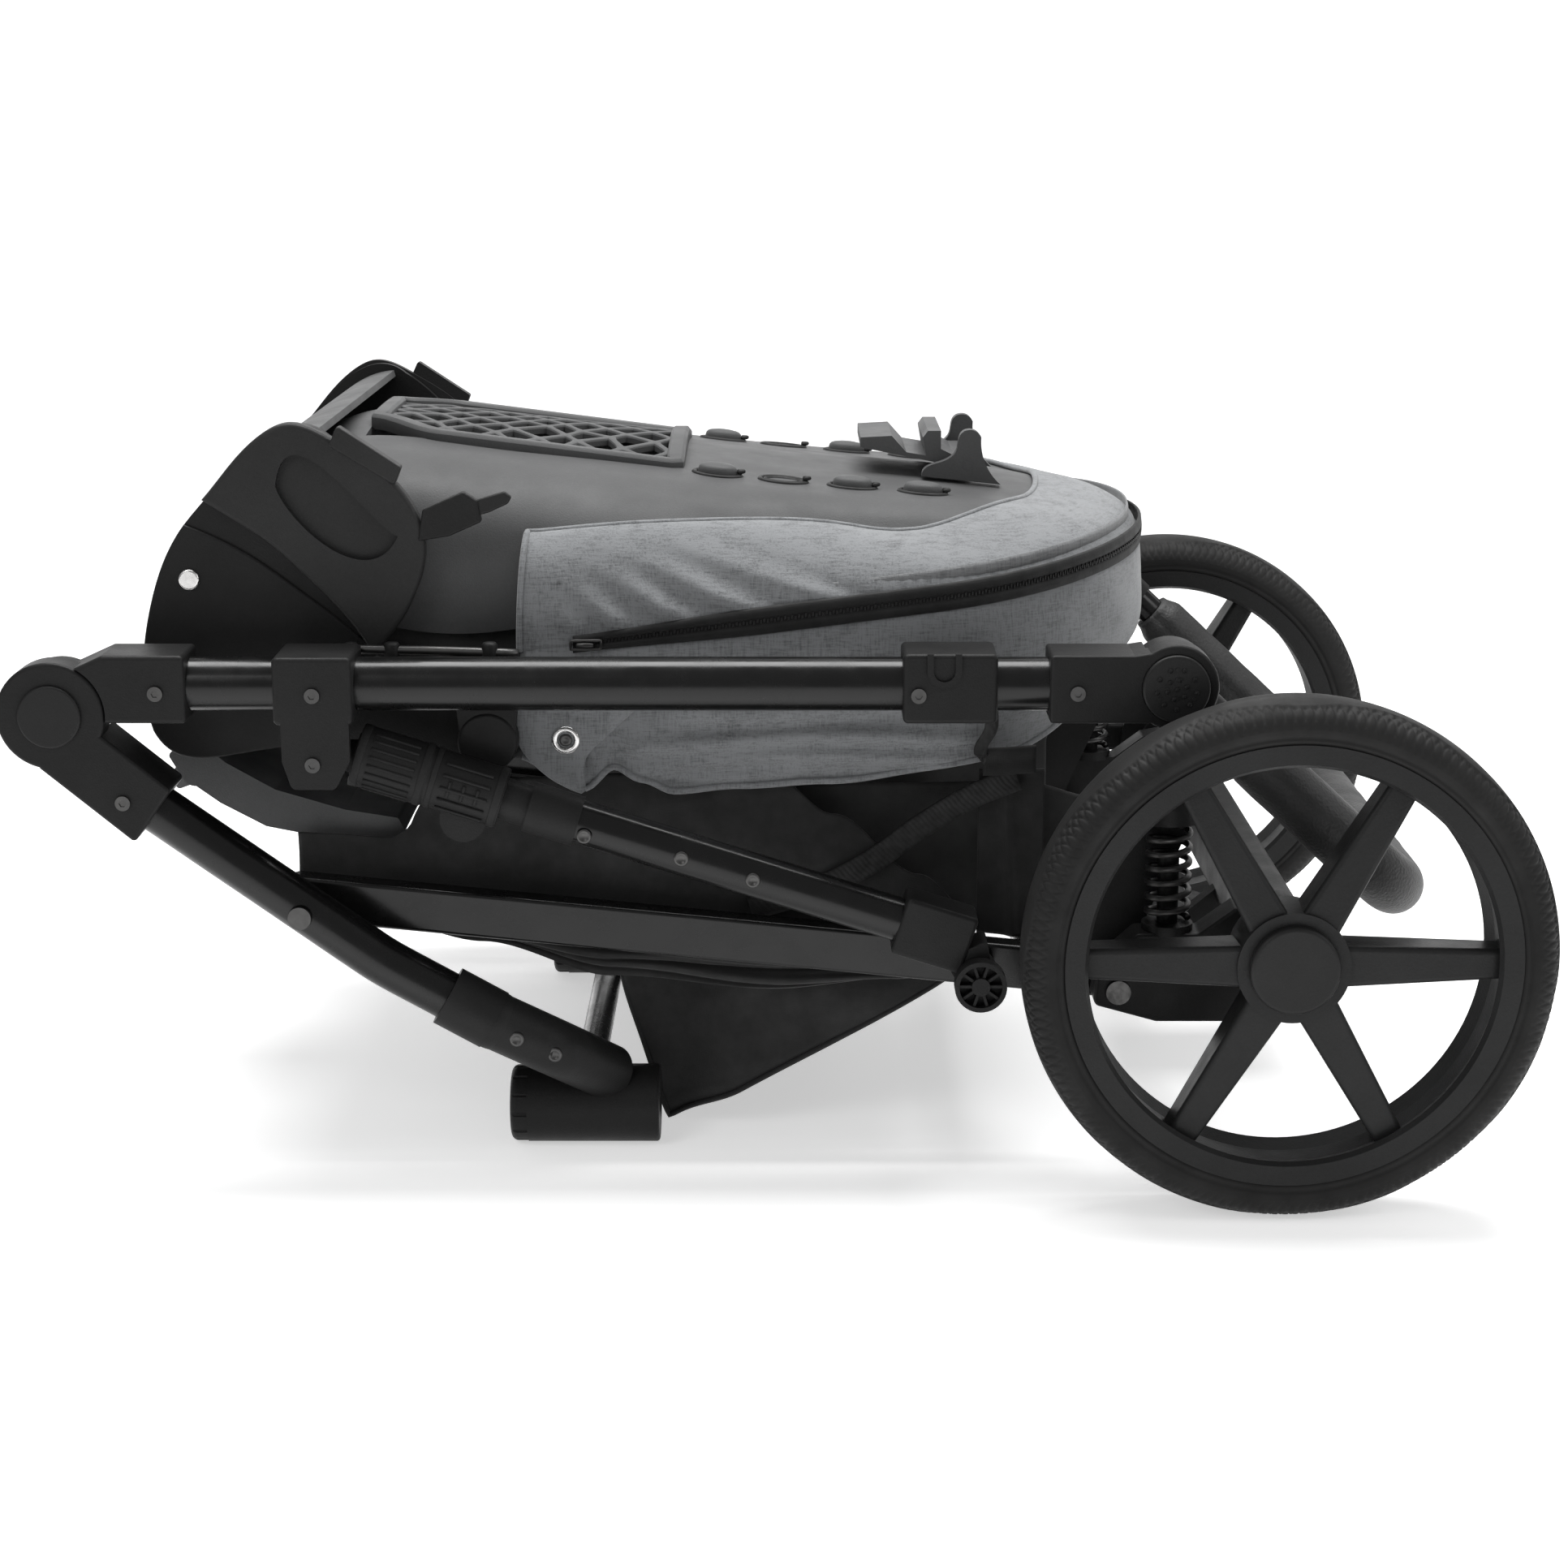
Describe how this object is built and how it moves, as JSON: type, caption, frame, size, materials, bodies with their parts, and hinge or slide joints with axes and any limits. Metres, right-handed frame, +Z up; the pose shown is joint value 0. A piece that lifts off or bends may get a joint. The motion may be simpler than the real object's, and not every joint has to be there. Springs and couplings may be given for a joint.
{
  "type": "folding pushchair",
  "caption": "Folded pushchair chassis with spoked rear wheels, tilting handle, reclining moulded seat, fabric hood and basket, front wheels off.",
  "frame": {"origin": "centre of the box at floor level, under the folded object", "axes": "+X towards the rear wheels, +Y across the object, +Z up"},
  "size_m": [0.858, 0.614, 0.4291],
  "materials": {
    "frame_paint": "gloss black powder coat",
    "black_plastic": "fine texture",
    "rim_plastic": "satin",
    "shell_plastic": "satin dark grey",
    "tyre_rubber": "matte",
    "soft_rubber": "matte",
    "steel": "zinc plated",
    "bright_steel": "polished",
    "spring_steel": "black coated wire",
    "grey_fabric": "melange weave",
    "black_fabric": "plain weave",
    "grip_leather": "smooth artificial leather"
  },
  "bodies": {
    "lower_frame": {"lower_rails": "frame_paint", "lower_cross_tube": "frame_paint", "spring_towers": "black_plastic", "leg_pivot_pins": "steel", "strut_pivot_pins": "steel", "suspension_pins": "steel", "pivot_rollers": "black_plastic", "basket": "black_fabric", "shock_springs": "spring_steel"},
    "rear_carriage": {"suspension_arms": "black_plastic", "axle_beam": "black_plastic", "axle_shaft": "steel"},
    "brake": {"brake_bar": "steel", "brake_pedal": "black_plastic"},
    "wheel_near": {"wheel_tyre_near": "tyre_rubber", "wheel_rim_near": "rim_plastic", "wheel_spider_near": "rim_plastic", "wheel_cap_near": "black_plastic"},
    "wheel_far": {"wheel_tyre_far": "tyre_rubber", "wheel_rim_far": "rim_plastic", "wheel_spider_far": "rim_plastic", "wheel_cap_far": "black_plastic"},
    "front_frame": {"front_legs": "frame_paint", "lower_knuckles": "black_plastic", "hinge_caps": "black_plastic", "leg_feet": "black_plastic", "stem_caps": "black_plastic", "front_cross_bar": "frame_paint", "front_frame_screws": "steel"},
    "push_frame": {"push_tubes": "frame_paint", "upper_knuckles": "black_plastic", "hinge_pins": "steel", "strut_brackets": "black_plastic", "hook_clamps": "black_plastic", "handle_sockets": "black_plastic", "handle_pins": "steel", "seat_adapters": "black_plastic", "push_frame_screws": "steel"},
    "handle": {"handle_bow": "frame_paint", "handle_grip": "grip_leather", "handle_knuckles": "black_plastic"},
    "button_near": {"handle_button_near": "soft_rubber"},
    "button_far": {"handle_button_far": "soft_rubber"},
    "rear_struts": {"strut_tubes": "frame_paint", "strut_heads": "black_plastic", "strut_feet": "black_plastic"},
    "sleeve_near": {"lock_sleeve_near": "black_plastic"},
    "sleeve_far": {"lock_sleeve_far": "black_plastic"},
    "seat_base": {"seat_side_plates": "black_plastic", "recline_loops": "black_plastic", "seat_pan": "shell_plastic", "seat_rivets": "bright_steel"},
    "seat_back": {"back_shell": "shell_plastic", "vent_panel": "shell_plastic", "seat_liner": "grey_fabric", "lever_brackets": "shell_plastic", "canopy_rear": "grey_fabric"},
    "lever": {"recline_lever": "shell_plastic"},
    "hood": {"canopy_front": "grey_fabric"},
    "calf_rest": {"legrest": "shell_plastic"}
  },
  "joints": [
    {"name": "leg_fold", "type": "hinge", "parent": "lower_frame", "child": "front_frame", "pos_m": [-0.266, 0, 0.158], "axis": [0, 1, 0], "range_deg": [0, 78.01]},
    {"name": "main_fold", "type": "hinge", "parent": "front_frame", "child": "push_frame", "pos_m": [-0.399, 0, 0.274], "axis": [0, 1, 0], "range_deg": [-149.1, 0]},
    {"name": "strut_fold", "type": "hinge", "parent": "lower_frame", "child": "rear_struts", "pos_m": [0.116, 0, 0.12], "axis": [0, 1, 0], "range_deg": [0, 35.9]},
    {"name": "rear_suspension", "type": "hinge", "parent": "lower_frame", "child": "rear_carriage", "pos_m": [0.195, 0, 0.112], "axis": [0, 1, 0], "range_deg": [-6, 0], "stiffness_Nm_per_rad": 60, "springref_deg": 14.32, "deforming": ["shock_springs"]},
    {"name": "wheel_spin_near", "type": "hinge", "parent": "rear_carriage", "child": "wheel_near", "pos_m": [0.282, -0.28, 0.147], "axis": [0, 1, 0], "continuous": true},
    {"name": "wheel_spin_far", "type": "hinge", "parent": "rear_carriage", "child": "wheel_far", "pos_m": [0.282, 0.28, 0.147], "axis": [0, 1, 0], "continuous": true},
    {"name": "brake_press", "type": "hinge", "parent": "rear_carriage", "child": "brake", "pos_m": [0.236, 0, 0.092], "axis": [0, 1, 0], "range_deg": [0, 16]},
    {"name": "handle_tilt", "type": "hinge", "parent": "push_frame", "child": "handle", "pos_m": [0.221, 0, 0.29], "axis": [0, 1, 0], "range_deg": [-118, 0]},
    {"name": "button_press_near", "type": "slide", "parent": "push_frame", "child": "button_near", "axis": [0, 1, 0], "range_m": [0, 0.003], "stiffness_N_per_m": 400, "springref_m": -0.002},
    {"name": "button_press_far", "type": "slide", "parent": "push_frame", "child": "button_far", "axis": [0, -1, 0], "range_m": [0, 0.003], "stiffness_N_per_m": 400, "springref_m": -0.002},
    {"name": "sleeve_slide_near", "type": "slide", "parent": "rear_struts", "child": "sleeve_near", "axis": [0.9532, 0, -0.3024], "range_m": [0, 0.012], "stiffness_N_per_m": 500, "springref_m": -0.006},
    {"name": "sleeve_slide_far", "type": "slide", "parent": "rear_struts", "child": "sleeve_far", "axis": [0.9532, 0, -0.3024], "range_m": [0, 0.012], "stiffness_N_per_m": 500, "springref_m": -0.006},
    {"name": "seat_tilt", "type": "hinge", "parent": "push_frame", "child": "seat_base", "pos_m": [-0.162, 0, 0.251], "axis": [0, 1, 0], "range_deg": [-20, 0]},
    {"name": "back_recline", "type": "hinge", "parent": "seat_base", "child": "seat_back", "pos_m": [-0.24, 0, 0.345], "axis": [0, 1, 0], "range_deg": [-25, 0]},
    {"name": "lever_pull", "type": "hinge", "parent": "seat_back", "child": "lever", "pos_m": [0.117, 0, 0.387], "axis": [0, 1, 0], "range_deg": [0, 25], "stiffness_Nm_per_rad": 0.4, "springref_deg": -20.05},
    {"name": "hood_swing", "type": "hinge", "parent": "seat_back", "child": "hood", "pos_m": [-0.115, 0, 0.303], "axis": [0, 1, 0], "range_deg": [0, 16]},
    {"name": "legrest_swing", "type": "hinge", "parent": "seat_base", "child": "calf_rest", "pos_m": [-0.336, 0, 0.224], "axis": [0, 1, 0], "range_deg": [0, 80]}
  ],
  "couplings": [
    {"joint": "leg_fold", "follows": "main_fold", "ratio": -0.52314},
    {"joint": "strut_fold", "follows": "main_fold", "ratio": -0.24078}
  ]
}
